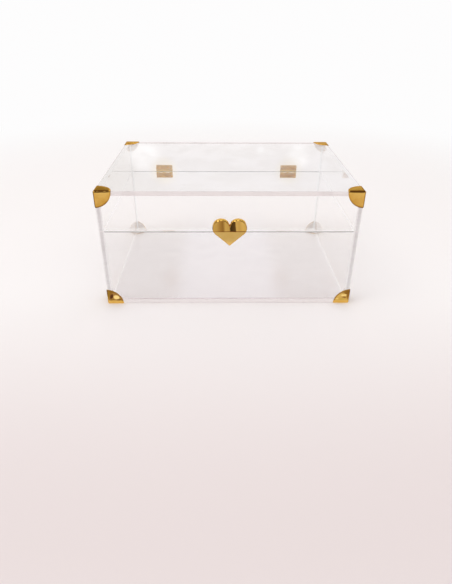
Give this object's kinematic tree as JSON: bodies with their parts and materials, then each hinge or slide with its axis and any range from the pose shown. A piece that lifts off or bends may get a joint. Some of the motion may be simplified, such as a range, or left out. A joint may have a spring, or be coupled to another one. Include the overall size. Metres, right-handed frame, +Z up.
{
  "type": "wedding card box",
  "caption": "Clear acrylic lidded box for wedding cards and gifts, with folded gold corner caps, a gold heart pull on the lid and rear hinges.",
  "frame": {"origin": "middle of the box's plan, on the plane that the bottom corner caps stand on", "axes": "+X to the right-hand side seen from the front, +Y to the hinged back, +Z up"},
  "size_m": [0.302, 0.2352, 0.146],
  "materials": {
    "clear_acrylic": "clear, polished edges",
    "gold_cap": "mirror-polished gold plate",
    "gold_heart": "mirror gold",
    "hinge_brass": "brushed, brass-plated",
    "adhesive": "translucent tape"
  },
  "bodies": {
    "base": {"base_bottom_panel": "clear_acrylic", "base_front_panel": "clear_acrylic", "base_back_panel": "clear_acrylic", "base_left_panel": "clear_acrylic", "base_right_panel": "clear_acrylic", "base_cap_front_left": "gold_cap", "base_cap_front_right": "gold_cap", "base_cap_back_left": "gold_cap", "base_cap_back_right": "gold_cap", "hinge_left_base_leaf": "hinge_brass", "hinge_right_base_leaf": "hinge_brass", "hinge_left_pin": "hinge_brass", "hinge_right_pin": "hinge_brass", "hinge_left_base_film": "adhesive", "hinge_right_base_film": "adhesive"},
    "lid": {"lid_top_panel": "clear_acrylic", "lid_front_panel": "clear_acrylic", "lid_back_panel": "clear_acrylic", "lid_left_panel": "clear_acrylic", "lid_right_panel": "clear_acrylic", "lid_cap_front_left": "gold_cap", "lid_cap_front_right": "gold_cap", "lid_cap_back_left": "gold_cap", "lid_cap_back_right": "gold_cap", "hinge_left_lid_leaf": "hinge_brass", "hinge_right_lid_leaf": "hinge_brass", "hinge_left_lid_film": "adhesive", "hinge_right_lid_film": "adhesive", "heart_face": "gold_heart", "heart_backer": "gold_heart", "heart_pad": "adhesive"}
  },
  "joints": [
    {"name": "lid_hinge", "type": "hinge", "parent": "base", "child": "lid", "pos_m": [0, 0.11459, 0.097], "axis": [-1, 0, 0], "range_deg": [0, 183]}
  ]
}
